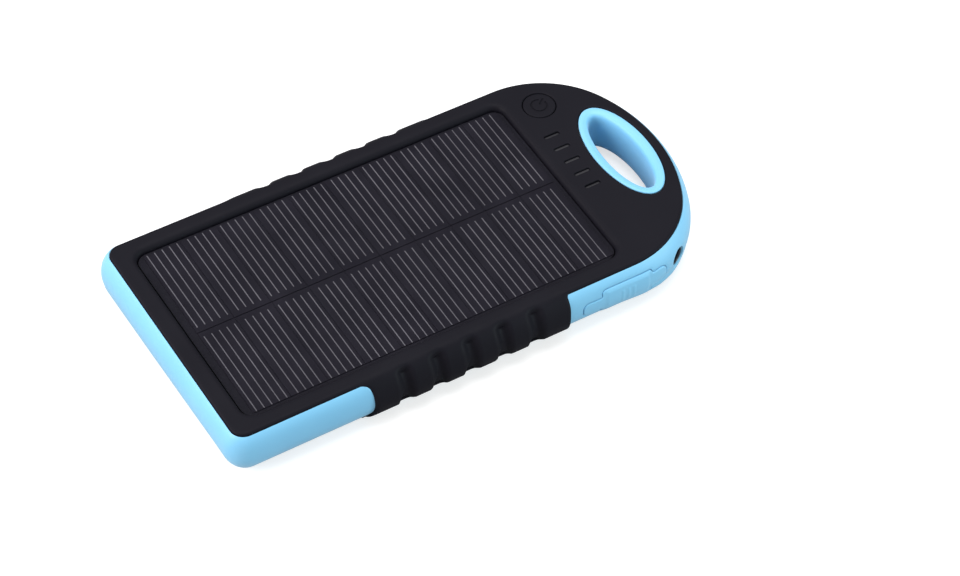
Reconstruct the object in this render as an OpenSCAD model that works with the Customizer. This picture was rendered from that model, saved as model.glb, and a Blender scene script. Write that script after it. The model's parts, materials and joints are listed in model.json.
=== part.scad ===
// Pocket solar charger: a flat power bank with a solar panel in its front face,
// a soft bumper frame, ribbed side grips, two plugged ports, a torch and a hanging eye.
// Millimetres. X runs along the length towards the hanging eye, Y across the width, Z up from
// the back face. The origin is the middle of the back face, on the plane it rests on.

/* [Body] */
// Overall length over the bumper
body_length = 142; // [138:1:148]
// Overall width over the grips
body_width = 75; // [75:0.5:78]
// Overall thickness
body_height = 14; // [14:0.5:15]
// How far the grips stand out from the edge of the front face
grip_out = 3.5; // [3:0.1:3.5]
// How far the bumper stands out from the edge of the front face
bumper_out = 2.2; // [1.9:0.1:2.4]
// Corner radius at the foot end
foot_radius = 3.5; // [3:0.5:6]
// Depth of the arch at the eye end
arch_depth = 28; // [27.5:0.5:30]
// Radius of the arch's two shoulders
arch_radius = 26.2; // [23:0.1:26.5]

/* [Solar panel] */
// Depth of the panel's face below the front face
panel_sink = 0.8; // [0.6:0.1:1.6]
// Width of the window
window_width = 58; // [52:0.2:58]
// Corner radius of the window
window_radius = 3; // [1.5:0.5:5]
// Columns of cells along the length
cell_columns = 10; // [8:1:12]
// Width of a silver finger line
finger_width = 0.28; // [0.15:0.01:0.4]

/* [Hanging eye] */
// Half length of the eye's rim, across the body
eye_half_y = 16.7; // [14:0.1:17]
// Half width of the eye's rim, along the body
eye_half_x = 7.6; // [6.5:0.1:7.7]
// Wall of the eye's liner
eye_wall = 2.85; // [1.5:0.05:3]

/* [Button and lights] */
// Radius of the power button's cap
button_radius = 4.25; // [3.5:0.05:4.5]
// Number of charge lights
light_count = 5; // [3:1:5]
// Pitch of the charge lights
light_pitch = 4.88; // [4.2:0.02:5]

/* [Grips] */
// Scallops in each grip
scallop_count = 5; // [4:1:6]
// Depth of a scallop
scallop_depth = 1.25; // [0.8:0.05:1.5]

/* [Fasteners] */
// Radius of the pilot hole in a screw boss
pilot_radius = 0.85; // [0.7:0.05:0.95]
// Radius of a screw's head
head_radius = 1.9; // [1.6:0.1:2]

/* [Hidden] */
$fn = 48;

case_black = [0.06, 0.06, 0.07];
soft_blue = [0.42, 0.76, 0.93];
shell_steel = [0.75, 0.75, 0.77];
lead_red = [0.75, 0.06, 0.05];
lead_black = [0.05, 0.05, 0.05];

overlap = 0.01;
face_y = body_width / 2 - grip_out;           // side edge of the front face
eye_end_x = body_length / 2 - bumper_out;     // ends of the front face
foot_x = -eye_end_x;
mid_z = 7;                                    // height of the bumper's widest line
above_z = body_height + 1;                    // clear of the front face, for cuts

// Three-centred arch at the eye end: two shoulders and one flatter end, tangent where they join
shoulder_x = eye_end_x - arch_depth;
shoulder_y = face_y - arch_radius;
end_radius = (arch_depth * arch_depth + shoulder_y * shoulder_y - arch_radius * arch_radius)
  / (2 * (arch_depth - arch_radius));
end_x = eye_end_x - end_radius;
join_angle = atan2(shoulder_y, shoulder_x - end_x);

// Levels and window of the case
window_x0 = foot_x + 5.1;
window_x1 = eye_end_x - 29.1;
panel_z = body_height - panel_sink;           // face of the panel
tray_floor_z = body_height - 3;               // the panel's tray
tray_bottom_z = tray_floor_z - 1;
plate_z = body_height - 2;                    // underside of the front plate
seam_z = body_height - 3.4;                   // the case parts here
wall_outer = -1.7;                            // offsets of the back cover's wall
wall_inner = -2.9;

// Main board and ports
board_z = 3.1;
board_top_z = board_z + 0.8;
component_z = board_top_z + 0.01;
port_x = eye_end_x - 30.9;                    // middle of both ports
mouth_y = face_y - 0.25;
usb_z = board_top_z + 0.05;

// Eye, button and lights
eye_x = eye_end_x - 10.2;
eye_gap = 0.08;                               // clearance round the liner
button_place = [eye_end_x - 20.1, 23.7];
plunger_top_z = 8.4;
light_x = eye_end_x - 22.8;
light_mid_y = 3.4;
light_ys = [for (i = [0:light_count - 1]) light_mid_y + (i - (light_count - 1) / 2) * light_pitch];

screw_places = [for (x = [foot_x + 7.5, foot_x + 49.5, eye_end_x - 46.5], side = [-1, 1])
  [x, side * (face_y - 7.3)]];

// ---------------------------------------------------------------- shapes
// Points of an arc; the first step can be skipped where it repeats the last point
function arc(x, y, radius, start, end, steps, first = 0) =
  [for (i = [first:steps]) let (angle = start + (end - start) * i / steps)
    [x + radius * cos(angle), y + radius * sin(angle)]];

// The body's outline, grown from the edge of the front face, anticlockwise
function outline(grow) =
  let (corner_r = max(foot_radius + grow, 0.8),
    corner_x = foot_x - grow + corner_r,
    corner_y = face_y + grow - corner_r)
  concat(
    arc(shoulder_x, -shoulder_y, arch_radius + grow, -90, -join_angle, 9),
    arc(end_x, 0, end_radius + grow, -join_angle, join_angle, 14, 1),
    arc(shoulder_x, shoulder_y, arch_radius + grow, join_angle, 90, 9, 1),
    arc(corner_x, corner_y, corner_r, 90, 180, 5),
    arc(corner_x, -corner_y, corner_r, 180, 270, 5));

function lift(points, z) = [for (p = points) [p[0], p[1], z]];

module prism(z0, z1) {
  translate([0, 0, z0]) linear_extrude(z1 - z0) children();
}

module box(x0, x1, y0, y1, z0, z1) {
  translate([x0, y0, z0]) cube([x1 - x0, y1 - y0, z1 - z0]);
}

module post(place, z0, z1, radius) {
  translate([place[0], place[1], z0]) cylinder(h = z1 - z0, r = radius);
}

module rounded_rect(x0, x1, y0, y1, radius) {
  for (x = [x0 + radius, x1 - radius], y = [y0 + radius, y1 - radius])
    translate([x, y]) circle(radius);
  translate([x0 + radius, y0]) square([x1 - x0 - 2 * radius, y1 - y0]);
  translate([x0, y0 + radius]) square([x1 - x0, y1 - y0 - 2 * radius]);
}

// Children as drawn, and mirrored to the -Y side
module both_sides() {
  for (side = [0, 1]) mirror([0, side, 0]) children();
}

module slab(grow, z0, z1) {
  prism(z0, z1) polygon(outline(grow));
}

module ring(outer, inner, z0, z1) {
  difference() {
    slab(outer, z0, z1);
    slab(inner, z0 - 1, z1 + 1);
  }
}

// Elliptical prism at the hanging eye, grown from the rim
module eye(grow, z0, z1) {
  steps = 56;
  prism(z0, z1) polygon([for (i = [0:steps - 1])
    [eye_x + (eye_half_x + grow) * cos(360 * i / steps),
      (eye_half_y + grow) * sin(360 * i / steps)]]);
}

// Solid through a stack of point rings that all have the same count
module loft(rings) {
  count = len(rings[0]);
  last = len(rings) - 1;
  sides = [for (k = [0:last - 1], i = [0:count - 1])
    let (next = (i + 1) % count, low = k * count, high = low + count)
    each [[low + i, high + i, high + next], [low + i, high + next, low + next]]];
  polyhedron(
    points = [for (level = rings) each level],
    faces = concat(
      [[for (i = [0:count - 1]) i]],
      sides,
      [[for (i = [count - 1:-1:0]) last * count + i]]),
    convexity = 6);
}

// Round wire through a list of points, with a ball at each bend
module wire(points, radius) {
  for (i = [0:len(points) - 2]) {
    run = points[i + 1] - points[i];
    length = norm(run);
    translate(points[i])
      rotate([0, acos(run[2] / length), atan2(run[1], run[0])])
        cylinder(h = length, r = radius);
  }
  for (i = [1:len(points) - 2]) translate(points[i]) sphere(radius * 1.2);
}

// Places children at the torch: +X points out of its mouth, 0 is the bumper's face
module at_torch() {
  translate([shoulder_x, -shoulder_y, mid_z])
    rotate([0, 0, -60])
      translate([arch_radius + bumper_out, 0, 0]) children();
}

module torch_bar(radius, x0, x1) {
  at_torch() translate([x0, 0, 0]) rotate([0, 90, 0]) cylinder(h = x1 - x0, r = radius);
}

// Rounded slot at a charge light
module light_slot(y, length, width, z0, z1) {
  prism(z0, z1)
    rounded_rect(light_x - length / 2, light_x + length / 2, y - width / 2, y + width / 2,
      width / 2 - 0.02);
}

// Opening through the case wall for the port on the +Y side
module port_window() {
  box(port_x - 6.7, port_x + 6.7, face_y - 3.4, face_y + 0.02, 3.7, 9.9);
}

// ---------------------------------------------------------------- case
grip_x0 = foot_x + 34.3;
grip_x1 = eye_end_x - 48.1;
grip_radius = 7;
scallop_radius = 2.7;
scallop_start = 9.6;    // from the grip's foot end to the first scallop
scallop_ends = 19;      // length of the grip left outside the scallop centres

// Section of one grip, as [y, z]
grip_section = concat(
  [[face_y - 1.2, plate_z + 0.01], [face_y - 1.2, body_height - 0.3]],
  [for (angle = [58:-11.5:-57])
    [max(face_y + 0.12, face_y + grip_out - grip_radius + grip_radius * cos(angle)),
      mid_z + grip_radius * sin(angle)]],
  [[face_y + 0.1, 1.05], [face_y + 0.1, plate_z + 0.01]]);

module grip() {
  scallop_step = (grip_x1 - grip_x0 - scallop_ends) / (scallop_count - 1);
  difference() {
    translate([grip_x0, 0, 0])
      rotate([90, 0, 90]) linear_extrude(grip_x1 - grip_x0) polygon(grip_section);
    for (i = [0:scallop_count - 1])
      post([grip_x0 + scallop_start + i * scallop_step,
        face_y + grip_out - scallop_depth + scallop_radius], -1, 11.3, scallop_radius);
  }
}

function window_outline(grow) =
  let (radius = window_radius + grow,
    x0 = window_x0 - grow + radius,
    x1 = window_x1 + grow - radius,
    y = window_width / 2 + grow - radius)
  concat(
    arc(x1, y, radius, 0, 90, 5),
    arc(x0, y, radius, 90, 180, 5),
    arc(x0, -y, radius, 180, 270, 5),
    arc(x1, -y, radius, 270, 360, 5));

// The window's sloped rim, from the panel's edge out to the front face
module window_rim() {
  loft([lift(window_outline(0.02), body_height - 1),
    lift(window_outline(1.6), body_height + 0.2)]);
}

module front_cover() {
  tray_wall = 2;
  tray_y = window_width / 2 + tray_wall;
  color(case_black) difference() {
    union() {
      slab(0, plate_z, body_height);
      prism(tray_bottom_z, plate_z + overlap)
        rounded_rect(window_x0 - tray_wall, window_x1 + tray_wall, -tray_y, tray_y, 2);
      ring(-1.6, wall_inner, seam_z + 0.2, plate_z + overlap);
      both_sides() grip();
      for (place = screw_places) post(place, board_z, tray_bottom_z + overlap, 2.1);
    }
    prism(tray_floor_z, tray_floor_z + 4) polygon(window_outline(0));
    window_rim();
    eye(eye_gap, tray_bottom_z - 1, above_z);
    post(button_place, plate_z - 1, plate_z + 3, button_radius + 0.2);
    for (y = light_ys) light_slot(y, 4.6, 1, plate_z - 1, above_z);
    for (place = screw_places) post(place, board_z - 1, board_z + 5.5, pilot_radius);
    // way through for the panel's leads
    box(window_x1 - 6, window_x1 - 2, -7.5, -1.5, tray_bottom_z - 1, tray_floor_z + 1);
  }
}

module back_cover() {
  color([0.07, 0.07, 0.08]) difference() {
    union() {
      slab(-4.8, 0, 1.96);
      slab(wall_outer, 1.95, 3);
      ring(wall_outer, wall_inner, 2.9, seam_z - 0.2);
    }
    eye(eye_gap, -1, 4);
    for (place = screw_places) {
      post(place, -1, 4, pilot_radius + 0.3);
      post(place, -1, 1.3, head_radius + 0.15);
    }
    both_sides() port_window();
    torch_bar(2.7, -6, 0);
  }
}

module case_gasket() {
  color([0.5, 0.52, 0.55]) ring(-1.85, -2.7, seam_z - 0.18, seam_z + 0.18);
}

// Cross-head screws, driven from the back face
module case_screws() {
  slot_length = 1.1;
  slot_width = 0.2;
  color([0.7, 0.7, 0.72]) for (place = screw_places)
    translate([place[0], place[1], 0]) difference() {
      union() {
        post([0, 0], 0.35, 1.28, head_radius);
        post([0, 0], 1.2, 8.4, pilot_radius - 0.03);
      }
      box(-slot_length, slot_length, -slot_width, slot_width, 0, 0.9);
      box(-slot_width, slot_width, -slot_length, slot_length, 0, 0.9);
    }
}

// ---------------------------------------------------------------- bumper and eye
belly_radius = 6.2;     // roundness of the bumper's side below and above its widest line
upper_radius = 3.5;

// Bumper side as [offset, height]: a rounded belly that draws in to a lip under the front face
bumper_profile = concat(
  [for (angle = [-86, -72, -58, -45, -32, -20, -9, 0])
    [bumper_out - belly_radius + belly_radius * cos(angle), mid_z + mid_z * sin(angle)]],
  [for (angle = [12:12:60])
    [bumper_out - upper_radius + upper_radius * cos(angle), mid_z + 6.9 * sin(angle)]],
  [[0.2, body_height - 0.7]]);

module bumper_solid() {
  loft([for (level = bumper_profile) lift(outline(level[0]), level[1])]);
}

module bumper_frame() {
  color(soft_blue) difference() {
    bumper_solid();
    // stepped opening round the back panel, the case wall and the front plate
    slab(-4.7, -1, above_z);
    slab(-1.6, 1.9, above_z);
    slab(0.05, plate_z - 0.05, above_z);
    both_sides() {
      box(grip_x0 - 0.1, grip_x1 + 0.1, face_y, face_y + 6, -1, above_z);
      port_window();
      flap_recess();
      box(hinge_x - 2.7, hinge_x - 1.1, face_y - 2, face_y + 0.3, mid_z - 1.3, mid_z + 0.7);
    }
    torch_bar(3, -4, 1.4);
    eye(eye_gap, -1, 1.95);
  }
}

module eye_liner() {
  color(soft_blue) difference() {
    union() {
      eye(0, plate_z, body_height - 0.05);
      eye(-0.5, 1.9, body_height - 0.1);
      eye(0, 0.3, 3);
    }
    eye(-eye_wall, -1, above_z);
  }
}

// ---------------------------------------------------------------- port flaps
// Drawn on the +Y side; the output port's are mirrored
flap_z0 = 2.8;
flap_z1 = 10.8;
hinge_x = eye_end_x - 40.5;
hinge_y = face_y + 1.1;                       // the flap's neck turns about this line
knuckle_radius = 0.9;
flap_reach = hinge_x + 30;                    // past the flap's eye end

// Flap with its strap, as [x, z]
module flap_shape(grow = 0) {
  rounded_rect(port_x - 6.9 - grow, port_x + 6.8 + grow, flap_z0 - grow, flap_z1 + grow,
    1.2 + grow);
  rounded_rect(hinge_x - 3.3 - grow, port_x + 11.9 + grow, mid_z - 2.2 - grow,
    mid_z + 1.8 + grow, 1.6 + grow);
}

// Extrudes an [x, z] shape towards +Y and keeps the part between two x positions
module through_y(x0, x1) {
  reach = 60;
  intersection() {
    rotate([90, 0, 0]) translate([0, 0, -reach]) linear_extrude(reach) children();
    box(x0, x1, 0, reach, -1, above_z);
  }
}

module flap_recess() {
  difference() {
    union() {
      through_y(hinge_x - 5, flap_reach) flap_shape(0.15);
      // extra room at the tip
      translate([0.2, 0, 0]) through_y(hinge_x + 20, flap_reach) flap_shape(0.15);
    }
    slab(0, -2, body_height + 2);
  }
}

// The part of the flap between two x positions, flush with the bumper's surface
module flap_skin(x0, x1) {
  intersection() {
    difference() {
      bumper_solid();
      slab(0.08, -2, body_height + 2);
    }
    through_y(x0, x1) flap_shape();
  }
}

module flap() {
  knuckle_z0 = mid_z - 1.9;
  knuckle_z1 = mid_z + 1.5;
  flap_skin(hinge_x + 1.5, flap_reach);
  box(hinge_x, hinge_x + 1.8, hinge_y - 0.55, hinge_y + 0.45, knuckle_z0, knuckle_z1);
  post([hinge_x, hinge_y], knuckle_z0, knuckle_z1, knuckle_radius);
}

module output_flap() {
  color(soft_blue) mirror([0, 1, 0]) {
    flap();
    box(port_x - 5.7, port_x + 5.7, face_y - 1.4, face_y + 0.3, 4.5, 6.6);
  }
}

module input_flap() {
  color(soft_blue) {
    flap();
    box(port_x - 5.2, port_x + 5.2, face_y - 0.15, face_y + 0.3, 4.4, 9.4);
  }
}

module flap_anchor() {
  difference() {
    union() {
      flap_skin(hinge_x - 5, hinge_x - 0.7);
      box(hinge_x - 2.6, hinge_x - 1.2, face_y - 1.5, face_y + 0.3, mid_z - 1.2, mid_z + 0.6);
    }
    post([hinge_x, hinge_y], 0, body_height, knuckle_radius + 0.15);
  }
}

module output_flap_anchor() {
  color(soft_blue) mirror([0, 1, 0]) flap_anchor();
}

module input_flap_anchor() {
  color(soft_blue) flap_anchor();
}

// ---------------------------------------------------------------- button and lights
module power_button() {
  mark_angle = 35;
  color(case_black) translate([button_place[0], button_place[1], 0]) difference() {
    union() {
      post([0, 0], plate_z - 0.2, body_height - 0.05, button_radius);
      post([0, 0], plate_z - 0.9, plate_z - 0.1, button_radius + 0.8);
      post([0, 0], plunger_top_z + 0.02, plate_z - 0.5, 1.5);
    }
    // power mark: an open ring and a bar
    translate([0, 0, body_height - 0.3]) {
      difference() {
        cylinder(h = 1, r = 2.1);
        post([0, 0], -1, 2, 1.65);
        rotate([0, 0, mark_angle]) box(0, 3, -0.55, 0.55, -1, 3);
      }
      rotate([0, 0, mark_angle]) box(0.1, 2.4, -0.2, 0.2, 0, 1);
    }
  }
}

module light_pipe() {
  color([0.85, 0.86, 0.88, 0.6]) {
    box(light_x - 2.6, light_x + 2.6, light_mid_y - 12, light_mid_y + 12,
      plate_z - 1.1, plate_z - 0.1);
    for (y = light_ys) {
      light_slot(y, 4.4, 0.8, plate_z - 0.2, body_height - 0.35);
      post([light_x, y], board_top_z + 0.75, plate_z - 1, 0.9);
    }
  }
}

// ---------------------------------------------------------------- solar panel
panel_x0 = window_x0 + 0.2;
panel_x1 = window_x1 - 0.2;
panel_y = window_width / 2 - 0.2;
panel_board_top_z = panel_z - 0.65;
cell_top_z = panel_board_top_z + 0.2;
cell_x0 = window_x0 + 2.3;
cell_pitch = (window_x1 - 1.3 - cell_x0) / cell_columns;
cell_gap = 0.1;                               // bare edge on each side of a cell
finger_pitch = cell_pitch * 0.2025;
row_y0 = 1.7;                                 // the fingers' span across one row of cells
row_y1 = window_width / 2 - 0.9;

module panel_layer(z0, z1, inset = 0) {
  prism(z0, z1)
    rounded_rect(panel_x0 + inset, panel_x1 - inset, -panel_y + inset, panel_y - inset,
      window_radius - inset);
}

// A frame of glue, open at the leads' way through
module panel_glue() {
  color([0.8, 0.8, 0.76]) difference() {
    panel_layer(tray_floor_z, tray_floor_z + 0.14, 0.4);
    box(panel_x0 + 4, panel_x1 - 8, -panel_y + 4, panel_y - 4,
      tray_floor_z - 1, tray_floor_z + 1);
    box(window_x1 - 6.2, window_x1 - 1.8, -8, -1, tray_floor_z - 1, tray_floor_z + 1);
  }
}

module panel_board() {
  color([0.03, 0.03, 0.04]) panel_layer(tray_floor_z + 0.15, panel_board_top_z);
}

module solar_cells() {
  color([0.09, 0.09, 0.14]) both_sides() for (column = [0:cell_columns - 1])
    box(cell_x0 + column * cell_pitch + cell_gap, cell_x0 + (column + 1) * cell_pitch - cell_gap,
      row_y0 - 1.2, row_y1, panel_board_top_z, cell_top_z);
}

// Cells carry five fingers and four fingers in turn
module cell_fingers() {
  color([0.62, 0.62, 0.66]) both_sides() for (column = [0:cell_columns - 1]) {
    count = column % 2 == 0 ? 5 : 4;
    first_x = cell_x0 + (column + 0.5) * cell_pitch - (count - 1) * finger_pitch / 2
      - finger_width / 2;
    for (k = [0:count - 1])
      translate([first_x + k * finger_pitch, row_y0, cell_top_z])
        cube([finger_width, row_y1 - row_y0, 0.03]);
  }
}

module panel_laminate() {
  color([0.2, 0.2, 0.25, 0.25]) panel_layer(cell_top_z + 0.04, panel_z);
}

// ---------------------------------------------------------------- battery
battery_x0 = foot_x + 3.7;
battery_x1 = eye_end_x - 48.3;
battery_y = face_y - 9.6;
battery_z0 = 3.4;

module battery_cell() {
  color([0.75, 0.76, 0.78]) {
    prism(battery_z0, 9.8)
      rounded_rect(battery_x0 + 1.5, battery_x1, -battery_y, battery_y, 1.5);
    // sealed edge at the foot end
    box(battery_x0, battery_x0 + 2, -battery_y + 1, battery_y - 1, 6.2, 6.6);
  }
}

module battery_foam() {
  color([0.2, 0.2, 0.2])
    box(battery_x0 + 6, battery_x1 - 6, -battery_y + 4, battery_y - 4, 3.02, battery_z0 - 0.02);
}

module battery_board() {
  face_x = battery_x1 + 1.05;
  color([0.05, 0.25, 0.12]) {
    box(battery_x1 + 0.15, face_x, -16, 16, 4.4, 9.2);
    for (y = [-9, -3, 10]) box(face_x, battery_x1 + 1.6, y - 1.5, y + 1.5, 5.6, 8);
  }
}

module battery_lead(y) {
  wire([[battery_x1 + 1.1, y, 7.2], [battery_x1 + 4.6, y, 6.4],
    [battery_x1 + 5.4, y, board_top_z + 0.18]], 0.5);
}

module battery_lead_red() {
  color(lead_red) battery_lead(5);
}

module battery_lead_black() {
  color(lead_black) battery_lead(2);
}

// ---------------------------------------------------------------- main board
module main_board() {
  board_x0 = battery_x1 + 4.3;
  notch_x0 = eye_x - 8.4;
  notch_x1 = eye_x + 20;
  notch_y = 18.5;
  color([0.04, 0.22, 0.12]) difference() {
    prism(board_z, board_top_z) intersection() {
      polygon(outline(-3.4));
      difference() {
        translate([board_x0, -face_y]) square([eye_end_x - 12.5 - board_x0, 2 * face_y]);
        polygon([[notch_x0, -notch_y], [notch_x1, -notch_y],
          [notch_x1, notch_y], [notch_x0, notch_y]]);
      }
    }
    for (side = [-1, 1]) post([port_x + 9.5, side * 4], 0, 10, 1);
  }
}

// USB-A output, its mouth at the -Y side
usb_half = 6.55;
usb_height = 5.7;
usb_wall = 0.3;

module usb_a_shell() {
  color(shell_steel) difference() {
    box(port_x - usb_half, port_x + usb_half, -mouth_y, -mouth_y + 14, usb_z, usb_z + usb_height);
    box(port_x - usb_half + usb_wall, port_x + usb_half - usb_wall,
      -mouth_y - 1, -mouth_y + 14 - usb_wall, usb_z + usb_wall, usb_z + usb_height - usb_wall);
  }
}

module usb_a_tongue() {
  color([0.95, 0.95, 0.95]) {
    box(port_x - 6.2, port_x + 6.2, -mouth_y + 10.9, -mouth_y + 13.65,
      usb_z + 0.35, usb_z + usb_height - 0.35);
    box(port_x - 5.55, port_x + 5.55, -mouth_y + 0.8, -mouth_y + 11, usb_z + 3.1, usb_z + 4.9);
  }
}

module usb_a_contacts() {
  color([0.83, 0.68, 0.3]) for (x = [-3.5, -1, 1, 3.5])
    box(port_x + x - 0.5, port_x + x + 0.5, -mouth_y + 1.6, -mouth_y + 10,
      usb_z + 2.97, usb_z + 3.08);
}

// Micro USB input, its mouth at the +Y side. Section: a flat top with the lower corners cut off
module micro_usb_section(top_half, bottom_half, top, corner, bottom) {
  polygon([
    [port_x - top_half, usb_z + top], [port_x + top_half, usb_z + top],
    [port_x + top_half, usb_z + corner], [port_x + bottom_half, usb_z + bottom],
    [port_x - bottom_half, usb_z + bottom], [port_x - top_half, usb_z + corner]]);
}

module micro_usb_shell() {
  color(shell_steel) translate([0, mouth_y, 0]) rotate([90, 0, 0]) difference() {
    linear_extrude(5.2) micro_usb_section(3.9, 3.1, 2.8, 1, 0);
    translate([0, 0, -1]) linear_extrude(5.95) micro_usb_section(3.65, 2.95, 2.55, 1.1, 0.25);
  }
}

module micro_usb_tongue() {
  back_y = mouth_y - 4.9;
  color([0.06, 0.06, 0.06]) {
    box(port_x - 1.75, port_x + 1.75, back_y, mouth_y - 0.6, usb_z + 1.45, usb_z + 2);
    box(port_x - 2.8, port_x + 2.8, back_y, mouth_y - 4, usb_z + 0.35, usb_z + 2.45);
  }
}

module switch_housing() {
  color([0.12, 0.12, 0.13]) translate([button_place[0], button_place[1], 0]) difference() {
    box(-3, 3, -3, 3, board_top_z + 0.02, 7.3);
    post([0, 0], 6.6, 8.6, 1.66);
  }
}

module switch_plunger() {
  color([0.55, 0.1, 0.08]) post(button_place, 6.94, plunger_top_z, 1.6);
}

module indicator_leds() {
  color([0.95, 0.95, 0.85]) for (y = light_ys)
    box(light_x - 0.8, light_x + 0.8, y - 0.4, y + 0.4, component_z, board_top_z + 0.65);
}

// A block on the board; x is measured from the eye end
module component(x, y, size) {
  translate([eye_end_x + x, y, component_z + size[2] / 2]) cube(size, center = true);
}

module power_inductor() {
  color([0.18, 0.18, 0.19]) difference() {
    component(-37.5, 9, [6.4, 6.4, 3.2]);
    post([eye_end_x - 37.5, 9], component_z + 3, component_z + 4, 2.2);
  }
}

// Columns: x from the eye end, y, length, width
chips = [[-39.5, -8, 4.9, 3.9], [-30.5, -9.5, 4, 4], [-30, 1, 5, 4.4]];

module board_chips() {
  color([0.08, 0.08, 0.09]) for (chip = chips)
    component(chip[0], chip[1], [chip[2], chip[3], 1.4]);
}

// Columns: x from the eye end, y
capacitors = [[-38, -14], [-34.5, -14.5], [-34.8, 14.8], [-31, 8], [-27.5, 20], [-40, 19],
  [-24, -8.5]];

module board_capacitors() {
  color([0.72, 0.6, 0.42]) for (place = capacitors)
    component(place[0], place[1], [2, 1.25, 1]);
}

module panel_lead(y) {
  top_x = window_x1 - 4;
  wire([[top_x, y, tray_floor_z + 0.1], [top_x, y, 7.6], [window_x1 - 5.4, y, 5.6],
    [window_x1 - 5.6, y, board_top_z + 0.08]], 0.45);
}

module panel_lead_red() {
  color(lead_red) panel_lead(-3.2);
}

module panel_lead_black() {
  color(lead_black) panel_lead(-5.8);
}

// ---------------------------------------------------------------- torch
module torch_lens() {
  color([0.85, 0.9, 0.95, 0.5]) torch_bar(2.9, -2.6, -1.4);
}

module torch_led() {
  color([0.95, 0.95, 0.9]) {
    torch_bar(2.5, -7, -2.9);
    torch_bar(2.65, -7.4, -6.6);
  }
}

module torch_leads() {
  color([0.72, 0.72, 0.74]) for (y = [-1.27, 1.27]) at_torch()
    wire([[-7.45, y, 0], [-8.6, y, -0.6], [-9.4, y, board_top_z + 0.12 - mid_z]], 0.25);
}

front_cover();
back_cover();
bumper_frame();
eye_liner();
case_gasket();
case_screws();
power_button();
light_pipe();
panel_glue();
panel_board();
solar_cells();
cell_fingers();
panel_laminate();
output_flap();
output_flap_anchor();
input_flap();
input_flap_anchor();
battery_cell();
battery_foam();
battery_board();
battery_lead_red();
battery_lead_black();
main_board();
usb_a_shell();
usb_a_tongue();
usb_a_contacts();
micro_usb_shell();
micro_usb_tongue();
switch_housing();
switch_plunger();
indicator_leds();
power_inductor();
board_chips();
board_capacitors();
panel_lead_red();
panel_lead_black();
torch_lens();
torch_led();
torch_leads();
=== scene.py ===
"""A solar power bank with a torch, lying on its back: the panel faces +z and the back is at z = 0.
x runs from the foot (-x) to the end with the hanging eye (+x); y runs across.
Sizes are in mm and are scaled to metres as the meshes are made."""
import json
import math
import bpy
import bmesh
import numpy as np
from mathutils import Matrix, Vector
from mathutils.geometry import delaunay_2d_cdt


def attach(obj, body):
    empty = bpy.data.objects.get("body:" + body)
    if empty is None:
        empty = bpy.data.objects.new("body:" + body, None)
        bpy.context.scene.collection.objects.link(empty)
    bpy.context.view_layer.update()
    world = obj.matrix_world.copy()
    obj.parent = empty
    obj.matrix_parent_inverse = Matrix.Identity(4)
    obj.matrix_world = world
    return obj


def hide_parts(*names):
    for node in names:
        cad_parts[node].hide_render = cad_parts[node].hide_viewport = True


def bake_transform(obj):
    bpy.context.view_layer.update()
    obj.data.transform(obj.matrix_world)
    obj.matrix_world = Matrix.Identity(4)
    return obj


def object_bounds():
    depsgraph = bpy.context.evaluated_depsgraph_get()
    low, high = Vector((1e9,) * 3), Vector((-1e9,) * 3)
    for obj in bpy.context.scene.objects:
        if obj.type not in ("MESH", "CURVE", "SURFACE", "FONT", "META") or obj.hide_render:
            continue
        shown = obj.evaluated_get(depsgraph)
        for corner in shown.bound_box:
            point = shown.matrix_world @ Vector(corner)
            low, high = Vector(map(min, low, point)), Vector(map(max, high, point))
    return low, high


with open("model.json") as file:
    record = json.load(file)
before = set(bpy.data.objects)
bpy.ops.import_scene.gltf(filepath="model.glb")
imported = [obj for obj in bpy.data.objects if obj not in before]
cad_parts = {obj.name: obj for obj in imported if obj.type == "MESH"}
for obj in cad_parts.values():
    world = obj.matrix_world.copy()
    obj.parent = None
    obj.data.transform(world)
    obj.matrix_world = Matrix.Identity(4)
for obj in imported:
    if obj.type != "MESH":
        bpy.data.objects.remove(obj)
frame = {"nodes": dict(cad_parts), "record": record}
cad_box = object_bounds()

MM = 0.001
cos, sin, rad, pi = math.cos, math.sin, math.radians, math.pi

# ------------------------------------------------------------------ driving sizes
BUMPER_OUT = 2.2                              # how far the bumper stands outside the front face
END_X = round(cad_box[1][0] * 1000, 2) - BUMPER_OUT    # the front face at the eye end
FOOT_X = round(cad_box[0][0] * 1000, 2) + BUMPER_OUT   # the front face at the foot
HALF_W = 34.0
TOP_Z = 14.0
MID_Z = TOP_Z / 2
# the eye end: two shoulder arcs joined by a flatter end arc
SHOULDER_DEPTH, SHOULDER_R = 28.0, 26.2
SHOULDER_X, SHOULDER_Y = END_X - SHOULDER_DEPTH, HALF_W - SHOULDER_R
END_R = ((SHOULDER_DEPTH ** 2 + SHOULDER_Y ** 2 - SHOULDER_R ** 2)
         / (2 * (SHOULDER_DEPTH - SHOULDER_R)))
END_CENTRE_X = END_X - END_R
JOIN_ANGLE = math.degrees(math.atan2(SHOULDER_Y, SHOULDER_X - END_CENTRE_X))
FOOT_R, MIN_FOOT_R = 3.5, 0.8                 # foot corner, and the least radius when inset
WIN_X0, WIN_X1, WIN_Y = FOOT_X + 5.1, END_X - 29.1, 29.0
PANEL_Z = 13.2
PORT_X = END_X - 30.9
HINGE_X, HINGE_Y = END_X - 40.5, HALF_W + 1.1
HANG_X, HANG_RX, HANG_RY, HANG_GAP = END_X - 10.2, 7.6, 16.7, 0.1   # hanging eye, an ellipse
BUTTON, BUTTON_HOLE = (END_X - 20.1, 23.7), 4.42
SLIT_X, SLIT_Y, SLIT_PITCH, SLITS = END_X - 22.8, 3.4, 4.88, range(5)
GRIP_X = END_X - 48.1                         # the grips' edge towards the eye
GROOVES = [-24.9 + 9.05 * i for i in range(5)]
TORCH_ANGLE = -60.0                           # on the -y shoulder arc
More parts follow.
